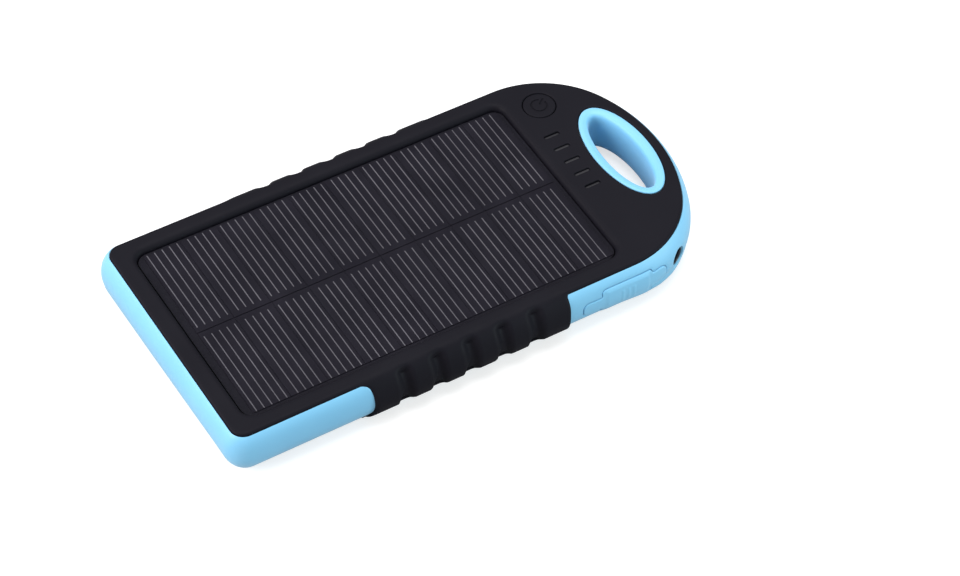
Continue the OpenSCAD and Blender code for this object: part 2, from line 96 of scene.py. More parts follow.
SCREWS = [(x, s * (HALF_W - 7.3))
          for x in (FOOT_X + 7.5, FOOT_X + 49.5, END_X - 46.5) for s in (-1, 1)]
INNER_OUT = -1.6                              # the bumper's inside face
UNDER_Z = 12.0                                # underside of the front plate


def smooth(t):
    t = np.clip(t, 0, 1)
    return t * t * (3 - 2 * t)


# ------------------------------------------------------------------ outline
# from x, to x, step: columns are closer at the ends of the grips
SIDE_STEPS = [(SHOULDER_X, 24.2, 1.2), (24.2, 19.4, 0.2), (19.4, -30.6, 0.42),
              (-30.6, -38.6, 0.2), (-38.6, -62.8, 1.6)]
CORNER, FOOT_EDGE = 1, 2                      # kinds of column; a corner's sign is its side


def spaced(a, b, step):
    n = max(1, int(round(abs(b - a) / step)))
    return [a + (b - a) * i / n for i in range(n)]


def arc(x, y, r, a0, a1, n, kind=0, skip=0):
    return [(x, y, r, rad(a0 + (a1 - a0) * i / n), kind) for i in range(skip, n + 1)]


side_x = [x for step in SIDE_STEPS for x in spaced(*step)] + [-62.8]
foot_x, foot_y = FOOT_X + FOOT_R, HALF_W - FOOT_R
# columns, counter-clockwise from the -y side: centre x, centre y, base radius, angle, kind
columns = arc(SHOULDER_X, -SHOULDER_Y, SHOULDER_R, -90, -JOIN_ANGLE, 40)
columns += arc(END_CENTRE_X, 0, END_R, -JOIN_ANGLE, JOIN_ANGLE, 40, skip=1)
columns += arc(SHOULDER_X, SHOULDER_Y, SHOULDER_R, JOIN_ANGLE, 90, 40, skip=1)
POS0 = len(columns) - 1                       # first and last columns of the +y side
columns += [(x, HALF_W, 0, rad(90), 0) for x in side_x[1:]]
POS1 = len(columns) - 1
columns += arc(foot_x, foot_y, FOOT_R, 90, 180, 14, CORNER)
columns += [(FOOT_X, y, 0, rad(180), FOOT_EDGE) for y in spaced(foot_y, -foot_y, 1.6)[1:]]
columns += arc(foot_x, -foot_y, FOOT_R, 180, 270, 14, -CORNER)
NEG0 = len(columns)                           # the -y side starts here and ends at column 0
columns += [(x, -HALF_W, 0, rad(-90), 0) for x in side_x[:0:-1]]
OUTLINE = np.array(columns, float)
COUNT = len(OUTLINE)
ALL = np.arange(COUNT)
COLUMN_X = OUTLINE[:, 0]
ON_SIDE = ((ALL >= POS0) & (ALL <= POS1)) | (ALL >= NEG0) | (ALL == 0)


def outline_at(i, out):
    """points at whole columns i, moved out from the front face's edge"""
    out = np.asarray(out, float)
    cx, cy, r, a, kind = OUTLINE[np.asarray(i) % COUNT].T
    short = np.maximum(0, MIN_FOOT_R - (FOOT_R + out))
    corner = np.where(np.abs(kind) == CORNER, short, 0)
    edge = np.where(kind == FOOT_EDGE, short, 0)
    x = cx + corner + (r + out + corner) * np.cos(a)
    y = cy * (1 - edge / foot_y) - kind * corner + (r + out + corner) * np.sin(a)
    return np.stack([x, y], -1)


def outline_ring(out, z):
    return np.column_stack([outline_at(ALL, out), np.full(COUNT, z)])


face = outline_at(ALL, BUMPER_OUT)
steps = np.linalg.norm(np.roll(face, -1, 0) - face, axis=1)
RUN = np.concatenate([[0], np.cumsum(steps)])  # length along the bumper's face at each column
LENGTH = RUN[COUNT]


def column_at(run):
    return np.clip(np.searchsorted(RUN, run, side="right") - 1, 0, COUNT - 1)


def outline_run(run, out):
    """points at a length along the outline, moved out"""
    i = column_at(run)
    f = ((run - RUN[i]) / (RUN[i + 1] - RUN[i]))[..., None]
    return outline_at(i, out) * (1 - f) + outline_at(i + 1, out) * f


def run_of_x(x, side):
    """length along the outline at x on the +y or -y side"""
    if side > 0:
        return RUN[POS0] + (SHOULDER_X - x)
    return LENGTH - (SHOULDER_X - x)


# ------------------------------------------------------------------ loops
def loop_z(loop, z):
    loop = np.asarray(loop)
    return np.column_stack([loop[:, 0], loop[:, 1], np.full(len(loop), z)])


def at_z(z):
    return lambda p: loop_z(p, z)


def on_wall(points, side, y):
    """points given as (x, z), stood on the plane y"""
    return np.column_stack([points[:, 0], np.full(len(points), side * y), points[:, 1]])


def rrect(x0, x1, y0, y1, r, n):
    """a rectangle with rounded corners of n steps"""
    r = max(r, 1e-3)
    pts = []
    for cx, cy, a in ((x1 - r, y1 - r, 0), (x0 + r, y1 - r, 90),
                      (x0 + r, y0 + r, 180), (x1 - r, y0 + r, 270)):
        turns = [rad(a + 90 * i / n) for i in range(n + 1)]
        pts += [(cx + r * cos(t), cy + r * sin(t)) for t in turns]
    return np.array(pts)


def ellipse(x, y, rx, ry, n):
    turns = [2 * pi * i / n for i in range(n)]
    return np.array([(x + rx * cos(t), y + ry * sin(t)) for t in turns])


def circle(x, y, r, n):
    return ellipse(x, y, r, r, n)


def oval(g, n=120):
    """the hanging eye, grown by g"""
    return ellipse(HANG_X, 0, HANG_RX + g, HANG_RY + g, n)


def in_oval(p, g):
    return ((p[..., 0] - HANG_X) / (HANG_RX + g)) ** 2 + (p[..., 1] / (HANG_RY + g)) ** 2 < 1


def window(g):
    gx = g if g < 0.3 else 0.3 + (g - 0.3) * 0.72
    return rrect(WIN_X0 - gx, WIN_X1 + gx, -WIN_Y - g, WIN_Y + g, 3.0 + g, 10)


def slit_y(i):
    return SLIT_Y + (i - 2) * SLIT_PITCH


def slit(i, g, length=4.4, width=0.95):
    half, thin, y = length / 2 + g, width / 2 + g, slit_y(i)
    return rrect(SLIT_X - half, SLIT_X + half, y - thin, y + thin, thin - 1e-3, 6)


def rounded(corners, n=6):
    """a polygon of (x, y, radius) with every corner rounded in n steps"""
    out = []
    places = [np.array(c[:2], float) for c in corners]
    for i, b in enumerate(places):
        a, c, r = places[i - 1], places[(i + 1) % len(places)], corners[i][2]
        d0, d1 = (a - b) / np.linalg.norm(a - b), (c - b) / np.linalg.norm(c - b)
        half = math.acos(np.clip(d0 @ d1, -1, 1)) / 2
        t = r / math.tan(half)
        centre = b + (d0 + d1) / np.linalg.norm(d0 + d1) * r / sin(half)
        a0 = math.atan2(*(b + d0 * t - centre)[::-1])
        a1 = math.atan2(*(b + d1 * t - centre)[::-1])
        turn = (a1 - a0 + pi) % (2 * pi) - pi
        angles = [a0 + turn * k / n for k in range(n + 1)]
        out += [centre + r * np.array([cos(q), sin(q)]) for q in angles]
    return np.array(out)


def refine(loop, step, like=None):
    """the loop with its long edges cut up, each into as many pieces as the same edge of like"""
    out = []
    loop = np.asarray(loop, float)
    like = loop if like is None else like
    for a, b, c, d in zip(loop, np.roll(loop, -1, 0), like, np.roll(like, -1, 0)):
        k = max(1, int(math.ceil(np.linalg.norm(d - c) / step)))
        out += [a + (b - a) * i / k for i in range(k)]
    return np.array(out)


def inside(p, poly):
    p, poly = np.asarray(p, float), np.asarray(poly, float)
    x, y = p[:, 0][:, None], p[:, 1][:, None]
    x0, y0 = poly[:, 0][None], poly[:, 1][None]
    x1, y1 = np.roll(poly[:, 0], -1)[None], np.roll(poly[:, 1], -1)[None]
    rise = np.where(y1 == y0, 1e-12, y1 - y0)
    hit = ((y0 > y) != (y1 > y)) & (x < (x1 - x0) * (y - y0) / rise + x0)
    return hit.sum(1) % 2 == 1


def nearest_gap(points, loop):
    """distance from each point to the nearest point of a loop"""
    return np.sqrt(((points[:, None] - loop[None]) ** 2).sum(2)).min(1)


def triangulate(outer, holes, inner):
    """triangles between an outer loop and its holes, using the inner points"""
    pts, edges = [], []
    for loop in [outer, *holes]:
        b = len(pts)
        pts += [tuple(map(float, q[:2])) for q in loop]
        edges += [(b + i, b + (i + 1) % len(loop)) for i in range(len(loop))]
    pts += [tuple(map(float, q)) for q in inner]
    v, _, f, _, _, _ = delaunay_2d_cdt([Vector(p) for p in pts], edges, [], 0, 1e-6)
    v = np.array([tuple(q) for q in v])
    f = [tuple(t) for t in f]
    centres = np.array([v[list(t)].mean(0) for t in f])
    keep = inside(centres, outer)
    for h in holes:
        keep &= ~inside(centres, h)
    return v, [t for t, k in zip(f, keep) if k]


# ------------------------------------------------------------------ mesh building
class Mesh:
    def __init__(self):
        self.points, self.faces, self.count = [], [], 0

    def add(self, pts):
        pts = np.asarray(pts, float).reshape(-1, 3)
        first = self.count
        self.points.append(pts)
        self.count += len(pts)
        return first

    def rings(self, rings, closed=True):
        """a skin over a row of rings"""
        base = [self.add(r) for r in rings]
        m = len(rings[0])
        for a, b in zip(base, base[1:]):
            for i in range(m if closed else m - 1):
                j = (i + 1) % m
                self.faces.append((a + i, a + j, b + j, b + i))

    def stack(self, loop_at, profile):
        """a skin over level loops; profile is (growth, height)"""
        rings = [loop_z(loop_at(g), z) for g, z in profile]
        self.rings(rings)
        return rings

    def lathe(self, profile, at, n, cap=True):
        """a skin about a vertical axis; profile is (radius, height)"""
        rings = self.stack(lambda r: circle(*at, max(r, 1e-4), n), profile)
        if cap:
            self.cap(rings[-1][::-1])

    def cap(self, ring):
        i = self.add(ring)
        self.faces.append(tuple(range(i, i + len(ring))))

    def area(self, outer, place, holes=(), inner=()):
        """a flat region with holes; place maps its points into space"""
        pts, faces = triangulate(outer, holes, inner)
        i = self.add(place(pts))
        self.faces += [tuple(i + k for k in f) for f in faces]

    def to_object(self, name, material, angle):
        me = bpy.data.meshes.new(name)
        me.from_pydata((np.concatenate(self.points) * MM).tolist(), [], self.faces)
        bm = bmesh.new()
        bm.from_mesh(me)
        bmesh.ops.remove_doubles(bm, verts=bm.verts, dist=2.2e-6)
        bmesh.ops.dissolve_degenerate(bm, edges=bm.edges, dist=1e-7)
        bm.verts.index_update()
        # faces on the same corners fold flat: pairs go, and an odd one stays
        same = {}
        for f in bm.faces:
            same.setdefault(tuple(sorted(v.index for v in f.verts)), []).append(f)
        fold = [f for g in same.values() if len(g) > 1 for f in g[len(g) % 2:]]
        if fold:
            bmesh.ops.delete(bm, geom=fold, context="FACES")
        bmesh.ops.recalc_face_normals(bm, faces=bm.faces)
        bm.to_mesh(me)
        bm.free()
        me.polygons.foreach_set("use_smooth", [True] * len(me.polygons))
        me.set_sharp_from_angle(angle=rad(angle))
        ob = bpy.data.objects.new(name, me)
        bpy.context.scene.collection.objects.link(ob)
        me.materials.append(material)
        return ob


def part(mesh, name, node, slot, angle, material=None, body="case"):
    """makes the object and stands it in for a CAD node; angle is where shading turns sharp"""
    ob = mesh.to_object(name, material or MATERIALS[slot], angle)
    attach(ob, body)
    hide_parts(node)


# ------------------------------------------------------------------ materials
def new_material(name):
    m = bpy.data.materials.new(name)
    m.use_nodes = True
    return m, m.node_tree, m.node_tree.nodes["Principled BSDF"]


def output_of(tree):
    return [n for n in tree.nodes if n.type == "OUTPUT_MATERIAL"][0]


def position(tree):
    return tree.nodes.new("ShaderNodeNewGeometry").outputs["Position"]


def noise(tree, source, scale, detail):
    n = tree.nodes.new("ShaderNodeTexNoise")
    n.inputs["Scale"].default_value = scale
    n.inputs["Detail"].default_value = detail
    n.inputs["Roughness"].default_value = 0.55
    tree.links.new(source, n.inputs["Vector"])
    return n.outputs["Fac"]


def ramp(tree, factor, low, high):
    r = tree.nodes.new("ShaderNodeValToRGB")
    for stop, place, colour in zip(r.color_ramp.elements, (0.3, 0.7), (low, high)):
        stop.position = place
        stop.color = (*colour, 1)
    tree.links.new(factor, r.inputs["Fac"])
    return r.outputs["Color"]


def map_range(tree, factor, low, high, from_min=0.0, from_max=1.0):
    m = tree.nodes.new("ShaderNodeMapRange")
    m.inputs["From Min"].default_value = from_min
    m.inputs["From Max"].default_value = from_max
    m.inputs["To Min"].default_value = low
    m.inputs["To Max"].default_value = high
    tree.links.new(factor, m.inputs["Value"])
    return m.outputs["Result"]


def plastic(name, low, high, rough=(0.4, 0.55), grain=2600.0, strength=0.25, depth=0.00003,
            drift=60.0, spec=0.5, metal=0.0, glow=0.0, sheen=0.0):
    """colour drifts from low to high, roughness is patchy, and a fine grain stands on it;
    grain and drift are noise scales, depth is the grain's height, glow the subsurface weight"""
    m, tree, b = new_material(name)
    p = position(tree)
    link = tree.links.new
    link(ramp(tree, noise(tree, p, drift, detail=4), low, high), b.inputs["Base Color"])
    patches = noise(tree, p, drift * 4, detail=3)
    link(map_range(tree, patches, *rough, from_min=0.3, from_max=0.7), b.inputs["Roughness"])
    height = noise(tree, p, grain, detail=2)
    bump = tree.nodes.new("ShaderNodeBump")
    bump.inputs["Strength"].default_value = strength
    bump.inputs["Distance"].default_value = depth
    link(height, bump.inputs["Height"])
    link(bump.outputs["Normal"], b.inputs["Normal"])
    b.inputs["Metallic"].default_value = metal
    b.inputs["Specular IOR Level"].default_value = spec
    if glow:
        b.inputs["Subsurface Weight"].default_value = glow
        b.inputs["Subsurface Radius"].default_value = (0.4, 0.9, 1.0)
        b.inputs["Subsurface Scale"].default_value = 0.0015
    if sheen:
        b.inputs["Sheen Weight"].default_value = sheen
        b.inputs["Sheen Roughness"].default_value = 0.4
    m.diffuse_color = (*low, 1)
    return m


def laminate_material():
    """clear resin over the cells; its tint drifts a little over the sheet"""
    m, tree, b = new_material("resin_laminate")
    tree.nodes.remove(b)
    clear = tree.nodes.new("ShaderNodeBsdfTransparent")
    tint = ramp(tree, noise(tree, position(tree), scale=140, detail=3),
                low=(0.93, 0.93, 0.945), high=(0.97, 0.97, 0.985))
    tree.links.new(tint, clear.inputs["Color"])
    tree.links.new(clear.outputs[0], output_of(tree).inputs["Surface"])
    return m


def lens_material():
    m, tree, b = new_material("torch_lens_clear")
    b.inputs["Base Color"].default_value = (0.9, 0.94, 1, 1)
    b.inputs["Transmission Weight"].default_value = 1.0
    b.inputs["IOR"].default_value = 1.49
    patches = noise(tree, position(tree), scale=400, detail=2)
    tree.links.new(map_range(tree, patches, low=0.02, high=0.08), b.inputs["Roughness"])
    return m


# material slot: its material, with the two colours it drifts between
MATERIALS = {
    "black_shell": plastic("soft_touch_black", (0.0056, 0.0052, 0.0088), (0.0074, 0.007, 0.011),
                           rough=(0.52, 0.62), grain=2400, strength=0.3, spec=0.09),
    "blue_bumper": plastic("blue_silicone", (0.185, 0.495, 0.755), (0.2, 0.52, 0.775),
                           rough=(0.42, 0.52), grain=1800, strength=0.18, glow=0.04, sheen=0.35),
    "clear_plastic": plastic("milky_clear", (0.16, 0.16, 0.18), (0.22, 0.22, 0.24),
                             rough=(0.25, 0.35), grain=1500, strength=0.1, depth=0.00002, spec=0.6),
    "steel": plastic("nickel_steel", (0.55, 0.55, 0.56), (0.68, 0.68, 0.68),
                     rough=(0.22, 0.36), grain=900, strength=0.15, depth=0.00002, metal=1.0),
    "gold": plastic("gold_plate", (0.8, 0.58, 0.2), (0.9, 0.68, 0.28),
                    rough=(0.2, 0.32), grain=900, strength=0.1, depth=0.00001, metal=1.0),
    "white_plastic": plastic("white_nylon", (0.72, 0.72, 0.7), (0.8, 0.8, 0.78), rough=(0.4, 0.5)),
    "black_plastic": plastic("moulded_black", (0.02, 0.02, 0.022), (0.03, 0.03, 0.032)),
    "red_plastic": plastic("moulded_red", (0.35, 0.02, 0.015), (0.42, 0.03, 0.02),
                           rough=(0.4, 0.5)),
    "red_wire": plastic("red_insulation", (0.5, 0.012, 0.01), (0.6, 0.02, 0.015),
                        rough=(0.3, 0.4)),
    "black_wire": plastic("black_insulation", (0.015, 0.015, 0.015), (0.025, 0.025, 0.025),
                          rough=(0.3, 0.4)),
    "board_green": plastic("green_mask", (0.01, 0.09, 0.035), (0.015, 0.13, 0.05),
                           rough=(0.25, 0.4), grain=700, strength=0.3, depth=0.00004),
    "ferrite": plastic("ferrite", (0.05, 0.05, 0.052), (0.08, 0.08, 0.08), rough=(0.6, 0.75)),
    "ceramic": plastic("ceramic", (0.45, 0.32, 0.18), (0.55, 0.4, 0.24), rough=(0.4, 0.5)),
    "led_body": plastic("led_phosphor", (0.85, 0.82, 0.5), (0.9, 0.88, 0.6), rough=(0.3, 0.4)),
    "pouch": plastic("pouch_film", (0.6, 0.61, 0.62), (0.7, 0.7, 0.71),
                     rough=(0.25, 0.45), grain=500, strength=0.5, depth=0.0001, metal=0.8),
    "foam": plastic("foam", (0.04, 0.04, 0.04), (0.07, 0.07, 0.07),
                    rough=(0.85, 0.95), grain=1500, strength=0.9, depth=0.0002),
    "glue": plastic("glue_film", (0.6, 0.6, 0.55), (0.66, 0.66, 0.6), rough=(0.5, 0.6)),
    "seal_rubber": plastic("grey_silicone", (0.2, 0.21, 0.23), (0.25, 0.26, 0.28),
                           rough=(0.5, 0.6)),
    "panel_backing": plastic("panel_backing", (0.0092, 0.0087, 0.0125), (0.0112, 0.0106, 0.015),
                             rough=(0.5, 0.6), spec=0.08),
    "silicon": plastic("silicon", (0.0098, 0.009, 0.0135), (0.0125, 0.0113, 0.0165),
                       rough=(0.5, 0.6), grain=3000, strength=0.02, depth=0.00001,
                       drift=130, spec=0.08),
    "silver_line": plastic("silver_print", (0.088, 0.085, 0.093), (0.125, 0.121, 0.131),
                           rough=(0.45, 0.6), grain=2500, strength=0.2, depth=0.00001, spec=0.2),
    "laminate": laminate_material(),
    "lens": lens_material(),
}
textured_black = plastic("textured_black", (0.008, 0.008, 0.01), (0.012, 0.012, 0.014),
                         rough=(0.5, 0.64), grain=1300, strength=0.6, depth=0.00006, spec=0.25)
smoked_clear = plastic("smoked_clear", (0.014, 0.0135, 0.017), (0.019, 0.0185, 0.023),
                       rough=(0.4, 0.5), grain=1500, strength=0.1, depth=0.00002, spec=0.3)
smoked_lens = plastic("torch_lens_smoked", (0.012, 0.016, 0.022), (0.02, 0.026, 0.034),
                      rough=(0.08, 0.14), grain=600, strength=0.05, depth=0.00001, spec=0.6)

slot_of = {s["node"]: s["material_slot"] for s in frame["record"]["subparts"]}
for name, o in frame["nodes"].items():
    o.data.materials.clear()
    o.data.materials.append(MATERIALS[slot_of[name]])


# ------------------------------------------------------------------ grips
def grip_insets(x, z):
    """how far x lies inside the grip's edges towards the foot and towards the eye"""
    foot = np.interp(
        z, [0, 2.2, 2.6, 3.0, 3.6, 4.6, 6.5, 8.5, 10.2, 11.5, 12.4, 13.1, 14],
        [-35.5, -35.5, -35.3, -34.8, -34.3, -33.95, -33.8, -33.9, -34.1, -34.4, -34.8, -35.4, -36.2])
    eye = GRIP_X + np.interp(z, [0, 0.9, 2, 5, 8, 10, 12, 13.3, 14],
                             [-0.5, -0.3, 0.35, 0.5, 0.7, 0.95, 0.95, 0.5, -0.1])
    return x - foot, eye - x


def catmull(pts, n):
    """a Catmull-Rom curve through pts, as n evenly spaced points"""
    pts = np.array(pts, float)
    p = np.vstack([2 * pts[0] - pts[1], pts, 2 * pts[-1] - pts[-2]])
    out = []
    for a, b, c, d in zip(p, p[1:], p[2:], p[3:]):
        for k in range(16):
            t = k / 16
            out.append(0.5 * (2 * b + (c - a) * t + (2 * a - 5 * b + 4 * c - d) * t * t
                              + (3 * b - a - 3 * c + d) * t ** 3))
    out = np.array(out + [pts[-1]])
    run = np.concatenate([[0], np.cumsum(np.linalg.norm(np.diff(out, axis=0), axis=1))])
    s = np.linspace(0, run[-1], n)
    return np.column_stack([np.interp(s, run, out[:, 0]), np.interp(s, run, out[:, 1])])


def curve_normals(curve):
    """outward normals of a profile that runs from top to bottom"""
    g = np.gradient(curve, axis=0)
    n = np.column_stack([-g[:, 1], g[:, 0]])
    return n / np.linalg.norm(n, axis=1)[:, None]


ROWS, EDGE_ROWS = 46, 9
# the grip's section from the top face down: offset, z
GRIP = catmull([
    (-1.9, 14.0), (-1.0, 13.92), (-0.25, 13.66), (0.45, 13.18), (1.12, 12.45), (1.78, 11.5),
    (2.36, 10.4), (2.85, 9.2), (3.18, 8.0), (3.36, 6.9), (3.3, 5.8), (3.05, 4.75), (2.6, 3.75),
    (2.0, 2.9), (1.35, 2.18), (0.72, 1.62), (0.14, 1.2)], ROWS)
GRIP_NORMAL = curve_normals(GRIP)
# the plain section between the grips: rounded top edge, short wall, then rows behind the bumper
PLAIN = [(-0.75 + 0.75 * sin(pi / 2 * i / EDGE_ROWS), 13.27 + 0.73 * cos(pi / 2 * i / EDGE_ROWS))
         for i in range(EDGE_ROWS + 1)]
PLAIN += [(-0.02 - 0.4 * smooth(i / 4), 13.27 - 0.5 * i / 4) for i in range(1, 5)]
rest = ROWS - len(PLAIN)
PLAIN += [(-0.42, 12.77 - 0.3 * i / rest) for i in range(1, rest + 1)]


def groove(x, z):
    """depth of the finger grooves: a steep wall towards the foot, an easy slope to the eye"""
    depth = np.zeros_like(x)
    wall = 1.25 + 1.35 * smooth((z - 4.0) / 6.0)
    for c in GROOVES:
        t = x - c
        depth = np.maximum(depth, smooth((t + 2.4) / wall) * (1 - smooth((t - 0.75) / 1.85)))
    return 1.36 * depth * (1 - smooth((z - 12.5) / 1.5))


def skirt_rows():
    """rings down the front cover's side, and the offsets of the first"""
    rows, first = [], None
    for k in range(ROWS):
        grip_out, grip_z = GRIP[k]
        plain_out, plain_z = PLAIN[k]
        foot, eye = grip_insets(COLUMN_X, grip_z)
        by_foot = foot < eye
        inset = np.where(ON_SIDE, np.minimum(foot, eye), -99)
        depth = groove(COLUMN_X, grip_z) * (1 - 0.85 * smooth((k - 40.5) / 4.5))
        least = 0.14 if k > 20 else -9
        out = np.maximum(grip_out - depth * GRIP_NORMAL[k, 0], least)
        z = grip_z - depth * GRIP_NORMAL[k, 1]
        # near the top edge the grip grows out more gently
        soft = np.where(by_foot, smooth((inset + 2.2) / 4.2), smooth((inset + 0.7) / 1.9))
        firm = smooth((k - EDGE_ROWS) / 6.0)
        e = np.clip(inset / np.where(by_foot, 1.2, 0.9), 0, 1)
        blend_out = np.sqrt(1 - (1 - e) ** 2) * firm + soft * (1 - firm)
        blend_z = smooth((inset + 1.6) / 1.2) * firm + soft * (1 - firm)
        out = plain_out + (out - plain_out) * blend_out
        rows.append(outline_ring(out, plain_z + (z - plain_z) * blend_z))
        if k == 0:
            first = out
    return rows, first


def eye_cut(i):
    """offset at which column i of the outline leaves the hanging eye, or -99"""
    out = np.arange(-8, 1, 0.01)
    hit = in_oval(outline_at(np.full(len(out), i), out), HANG_GAP)
    return out[hit].max() if hit.any() else -99.0


EYE_CUT = np.array([eye_cut(i) for i in range(COUNT)])
WALL_OUT = np.maximum(-2.9, EYE_CUT + 0.06)    # the inner wall, held outside the hanging eye

# ------------------------------------------------------------------ front cover
# profiles of the openings in the top face: growth, z
EYE_EDGE = [(0.75, TOP_Z), (0.5, TOP_Z), (0.36, 13.97), (0.24, 13.9), (0.15, 13.78),
            (HANG_GAP, 13.6), (HANG_GAP, UNDER_Z)]
BUTTON_EDGE = [(0.6, TOP_Z), (0.34, TOP_Z), (0.16, 13.96), (0.05, 13.87), (0.0, 13.74),
               (0.0, UNDER_Z)]
SLIT_EDGE = [(0.5, TOP_Z), (0.3, TOP_Z), (0.14, 13.95), (0.04, 13.86), (0.0, 13.7),
             (0.0, UNDER_Z)]
WINDOW_EDGE = [(2.5, TOP_Z), (2.2, TOP_Z), (1.85, 13.985), (1.5, 13.94), (1.15, 13.85),
               (0.82, 13.7), (0.52, 13.48), (0.3, 13.2), (0.16, 12.9), (0.08, 12.5),
               (0.05, 12.0), (0.05, 11.0)]
BOSS = [(0.85, 3.1), (2.0, 3.1), (2.1, 3.2), (2.1, 10.0), (0.85, 10.0), (0.85, 3.1)]


def button_hole(g):
    return circle(*BUTTON, BUTTON_HOLE + g, 72)


def front_cover():
    m = Mesh()
    rows, first = skirt_rows()
    m.rings(rows)
    strip = outline_ring(first - 0.4, TOP_Z)
    m.rings([rows[0], strip])
    # inside face of the grips, then under the plate
    last = rows[-1]
    inset = np.where(ON_SIDE, np.minimum(COLUMN_X + 35.6, GRIP_X + 0.95 - COLUMN_X), -99)
    lining = -0.42 + 0.52 * smooth((inset + 1.6) / 1.2)
    m.rings([last, outline_ring(lining - 0.02, last[:, 2])]
            + [outline_ring(out, z) for out, z in (
                (lining, UNDER_Z), (INNER_OUT, UNDER_Z), (INNER_OUT, 10.8), (WALL_OUT, 10.8),
                (WALL_OUT, UNDER_Z))])
    openings = []

    def opening(loop_at, profile):
        m.stack(loop_at, profile)
        openings.append(loop_at(profile[0][0]))

    opening(oval, EYE_EDGE)
    opening(button_hole, BUTTON_EDGE)
    for i in SLITS:
        opening(lambda g: slit(i, g), SLIT_EDGE)
    opening(window, WINDOW_EDGE)
    m.area(strip[:, :2], at_z(TOP_Z), openings)
    # tray under the panel, with a slot through it
    slot = rrect(WIN_X1 - 6, WIN_X1 - 2, -7.5, -1.5, 0.3, 3)
    tray = rrect(WIN_X0 - 2, WIN_X1 + 2, -WIN_Y - 1.98, WIN_Y + 1.98, 2, 4)
    m.area(window(0.05), at_z(11.0), [slot])
    m.rings([loop_z(slot, z) for z in (11.0, 10.0)])
    m.area(tray, at_z(10.0), [slot])
    m.rings([loop_z(tray, z) for z in (10.0, UNDER_Z)])
    m.area(outline_at(ALL, WALL_OUT), at_z(UNDER_Z),
           [tray, oval(HANG_GAP), button_hole(0)] + [slit(i, 0) for i in SLITS])
    for at in SCREWS:
        m.lathe(BOSS, at, 32, cap=False)
    part(m, "front_cover_shell", "front_cover", "black_shell", 40)


front_cover()

# ------------------------------------------------------------------ power button
MARK_ANGLE = rad(38)
CAP_Z = 13.95
# the engraved marks' edge, and the cap's side and stem
MARK_EDGE = [(0.16, CAP_Z), (0.10, 13.945), (0.03, 13.91), (0.0, 13.84), (-0.03, 13.72)]
CAP = [(3.75, CAP_Z), (3.95, 13.945), (4.1, 13.9), (4.2, 13.8), (4.25, 13.65), (4.25, 11.9),
       (5.05, 11.85), (5.05, 11.1), (1.5, 11.1), (1.5, 8.42)]


def mark_ring(g):
    """an open ring as one closed loop: outer arc then inner arc"""
    x, y = BUTTON
    outer, inner, cut, n = 2.25 + g, 1.78 - g, rad(24) - g / 2.0, 40
    a = [MARK_ANGLE + cut + (2 * pi - 2 * cut) * i / n for i in range(n + 1)]
    return np.array([(x + r * cos(t), y + r * sin(t))
                     for r, turns in ((outer, a), (inner, a[::-1])) for t in turns])


def mark_bar(g):
    x, y = BUTTON
    half, c, s = 0.24 + g, cos(MARK_ANGLE), sin(MARK_ANGLE)
    bar = rrect(0.35 - g, 2.75 + g, -half, half, half - 1e-3, 5)
    return np.array([(x + p[0] * c - p[1] * s, y + p[0] * s + p[1] * c) for p in bar])


def power_button():
    """a flat disc engraved with an open ring and a bar, on a stem"""
    m = Mesh()
    for mark in (mark_ring, mark_bar):
        m.stack(mark, MARK_EDGE)
        m.area(mark(-0.03), at_z(13.72))
    m.stack(lambda r: circle(*BUTTON, r, 72), [(3.4, CAP_Z), (3.75, CAP_Z)])
    m.area(circle(*BUTTON, 3.4, 72), at_z(CAP_Z), [mark_ring(0.16), mark_bar(0.16)])
    m.lathe(CAP, BUTTON, 72)
    part(m, "power_button_cap", "power_button", "black_shell", 40, body="button")


power_button()


# ------------------------------------------------------------------ light pipe bars
def light_pipe():
    """bars that fill the slits, on one plate, each with a round leg below"""
    m = Mesh()
    for i in SLITS:
        top = 13.66 if i in (1, 2, 3) else 13.5
        m.stack(lambda g: slit(i, g), [(-0.36, top), (-0.22, top - 0.02), (-0.12, top - 0.08),
                                       (-0.06, top - 0.2), (-0.05, 11.9)])
        m.area(slit(i, -0.36), at_z(top))
        m.lathe([(0.9, 10.9), (0.9, 4.9), (0.75, 4.65)], (SLIT_X, slit_y(i)), 24)
    plate = rrect(SLIT_X - 2.6, SLIT_X + 2.6, SLIT_Y - 12, SLIT_Y + 12, 0.3, 4)
    m.rings([loop_z(plate, 11.9), loop_z(plate, 10.9)])
    m.area(plate, at_z(11.9), [slit(i, -0.05) for i in SLITS])
    m.area(plate, at_z(10.9), [circle(SLIT_X, slit_y(i), 0.9, 24) for i in SLITS])
    part(m, "light_pipe_bars", "light_pipe", "clear_plastic", 40, smoked_clear)


light_pipe()

# ------------------------------------------------------------------ hanging-eye liner
# growth of the eye, z: up over the top edge, down the hole, and flared out at the back
LINER = [(-0.12, 13.3), (-0.05, 13.6), (-0.08, 13.82), (-0.2, 13.97), (-0.42, 14.0), (-0.8, 14.0),
         (-1.2, 13.98), (-1.45, 13.93), (-1.58, 13.86), (-1.7, 13.83), (-2.0, 13.78),
         (-2.25, 13.66), (-2.45, 13.48), (-2.62, 13.22), (-2.74, 12.88), (-2.82, 12.45)]
LINER += [(-2.85, z) for z in (11.9, 10.9, 9.8, 8.7, 7.6, 6.5, 5.4)]
LINER += [(0.95 - 3.8 * cos(rad(a)), 4.2 - 3.8 * sin(rad(a))) for a in range(0, 71, 7)]
LINER += [(-0.2, 0.52), (-0.12, 0.6), (-0.12, 1.9), (-0.5, 2.0), (-0.5, 11.9), (-0.12, 12.0),
          (-0.12, 13.3)]


def eye_liner():
    m = Mesh()
    m.stack(lambda g: oval(g, 160), LINER)
    part(m, "eye_liner_ring", "eye_liner", "blue_bumper", 50)


eye_liner()

